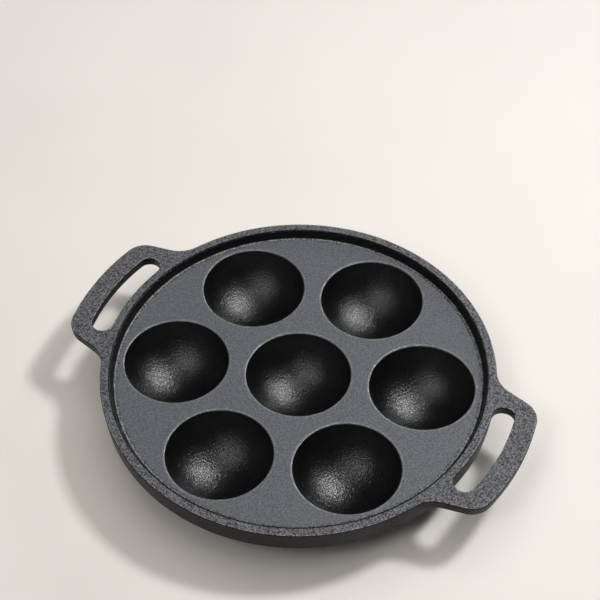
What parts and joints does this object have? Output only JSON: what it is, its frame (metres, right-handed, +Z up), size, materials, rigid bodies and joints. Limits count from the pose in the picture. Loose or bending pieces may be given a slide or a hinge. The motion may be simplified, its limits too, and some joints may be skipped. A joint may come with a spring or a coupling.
{
  "type": "aebleskiver pan",
  "caption": "Cast-iron pan with hemispherical cups in a rimmed griddle plate, and a slotted loop handle on each side.",
  "frame": {"origin": "under the middle cup, in the plane of the flat feet that the pan stands on", "axes": "+Z up, +X along the line of the two handles"},
  "size_m": [0.2726, 0.2232, 0.0355],
  "materials": {
    "seasoned_iron": "fine-grained iron, seasoned near black with a soft sheen",
    "sand_cast_iron": "coarse sand-cast skin, seasoned near black"
  },
  "bodies": {
    "root": {"griddle_plate": "seasoned_iron", "cup_middle": "seasoned_iron", "cup_1": "seasoned_iron", "cup_2": "seasoned_iron", "cup_3": "seasoned_iron", "cup_4": "seasoned_iron", "cup_5": "seasoned_iron", "cup_6": "seasoned_iron", "rim": "sand_cast_iron", "handle_right": "sand_cast_iron", "handle_left": "sand_cast_iron"}
  },
  "joints": []
}
